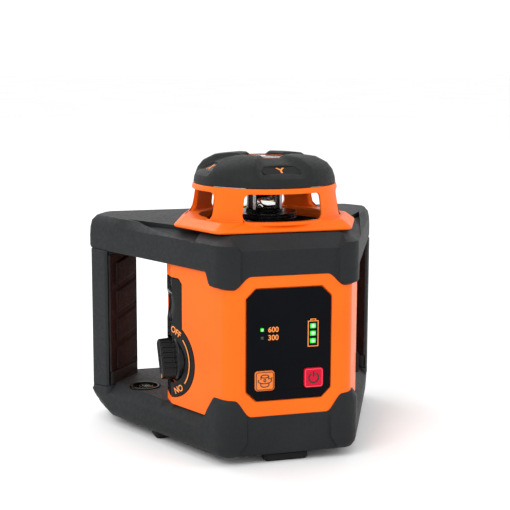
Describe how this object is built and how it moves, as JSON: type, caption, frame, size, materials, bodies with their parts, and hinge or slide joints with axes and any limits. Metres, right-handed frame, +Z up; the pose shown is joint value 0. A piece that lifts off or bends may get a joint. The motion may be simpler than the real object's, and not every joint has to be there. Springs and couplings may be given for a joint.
{
  "type": "rotating laser level",
  "caption": "Self-levelling rotating laser level: orange housing between two dark guard frames joined by side grips, with a windowed spinning head and a tilt lock knob.",
  "frame": {"origin": "on the surface that the feet stand on, at the middle of the footprint of the guard frames", "axes": "+Z up along the laser head's axis, which stands 19 mm towards -Y from the origin; -Y towards the control panel; +X to the right when facing the panel, along the longest side"},
  "size_m": [0.2032, 0.1522, 0.1884],
  "materials": {
    "housing_orange": "satin",
    "frame_charcoal": "matte",
    "knob_charcoal": "matte",
    "grip_rubber": "matte",
    "foot_rubber": "matte",
    "panel_black": "gloss",
    "button_orange": "satin",
    "button_red": "satin",
    "led_green": "gloss",
    "brass": "satin",
    "steel": "satin",
    "cast_aluminium": "satin",
    "clear_glass": "polished",
    "circuit_board": "satin",
    "cell_wrap": "satin"
  },
  "bodies": {
    "case": {"body_shell": "housing_orange", "top_frame": "frame_charcoal", "bottom_frame": "frame_charcoal", "left_grip": "frame_charcoal", "right_grip": "frame_charcoal", "left_grip_pad": "grip_rubber", "right_grip_pad": "grip_rubber", "cover_screw_left": "steel", "cover_screw_right": "steel", "bracket_pin_left": "steel", "bracket_pin_right": "steel", "lock_dial": "panel_black", "brake_guide": "brass", "control_panel": "panel_black", "speed_led_fast": "led_green", "speed_led_slow": "led_green", "battery_led_top": "led_green", "battery_led_middle": "led_green", "battery_led_bottom": "led_green", "main_board": "circuit_board", "speed_switch": "steel", "power_switch": "steel", "battery_cover": "frame_charcoal", "battery_pack": "cell_wrap", "charging_socket": "steel", "vial_cup": "frame_charcoal", "vial_glass": "clear_glass", "gimbal_bracket": "cast_aluminium", "head_cage": "housing_orange", "head_cap": "frame_charcoal", "cap_ring": "housing_orange", "cap_window": "clear_glass", "base_plate": "cast_aluminium", "tripod_insert": "brass", "front_foot": "foot_rubber", "left_foot": "foot_rubber", "right_foot": "foot_rubber", "back_left_foot": "foot_rubber", "back_right_foot": "foot_rubber"},
    "gimbal": {"gimbal_ring": "brass", "ring_pin_front": "steel", "ring_pin_back": "steel"},
    "pendulum": {"pendulum_body": "cast_aluminium", "balance_weight": "brass", "laser_module": "brass", "collimator_lens": "clear_glass", "rotor_bearing": "steel", "drive_motor": "steel", "drive_belt": "foot_rubber"},
    "rotor": {"rotor_pulley": "knob_charcoal", "rotor_housing": "panel_black", "pentaprism": "clear_glass"},
    "motor_rotor": {"motor_pulley": "brass"},
    "knob": {"lock_knob": "knob_charcoal", "lock_shaft": "steel"},
    "brake": {"brake_cup": "cast_aluminium"},
    "power_key": {"power_button": "button_red"},
    "speed_key": {"speed_button": "button_orange"},
    "port_flap": {"port_cover": "foot_rubber"}
  },
  "joints": [
    {"name": "gimbal_tilt", "type": "hinge", "parent": "case", "child": "gimbal", "pos_m": [0, -0.01906, 0.13], "axis": [1, 0, 0], "range_deg": [-4, 4]},
    {"name": "pendulum_tilt", "type": "hinge", "parent": "gimbal", "child": "pendulum", "pos_m": [0, -0.01906, 0.13], "axis": [0, 1, 0], "range_deg": [-4, 4]},
    {"name": "rotor_spin", "type": "hinge", "parent": "pendulum", "child": "rotor", "pos_m": [0, -0.01906, 0.15], "axis": [0, 0, 1], "continuous": true},
    {"name": "motor_spin", "type": "hinge", "parent": "pendulum", "child": "motor_rotor", "pos_m": [0, 0.01193, 0.149], "axis": [0, 0, 1], "continuous": true},
    {"name": "lock_knob_turn", "type": "hinge", "parent": "case", "child": "knob", "pos_m": [-0.063, -0.02107, 0.058], "axis": [-1, 0, 0], "range_deg": [0, 120]},
    {"name": "brake_lift", "type": "slide", "parent": "case", "child": "brake", "axis": [0, 0, 1], "range_m": [0, 0.002]},
    {"name": "power_button_press", "type": "slide", "parent": "case", "child": "power_key", "axis": [0, 1, 0], "range_m": [0, 0.0008], "stiffness_N_per_m": 400},
    {"name": "speed_button_press", "type": "slide", "parent": "case", "child": "speed_key", "axis": [0, 1, 0], "range_m": [0, 0.0008], "stiffness_N_per_m": 400},
    {"name": "port_cover_swing", "type": "hinge", "parent": "case", "child": "port_flap", "pos_m": [0.0633, -0.01807, 0.0543], "axis": [0, -1, 0], "range_deg": [0, 85]}
  ],
  "couplings": [
    {"joint": "motor_spin", "follows": "rotor_spin", "ratio": 4.5},
    {"joint": "lock_knob_turn", "follows": "brake_lift", "rad_per_m": 1047.2}
  ]
}
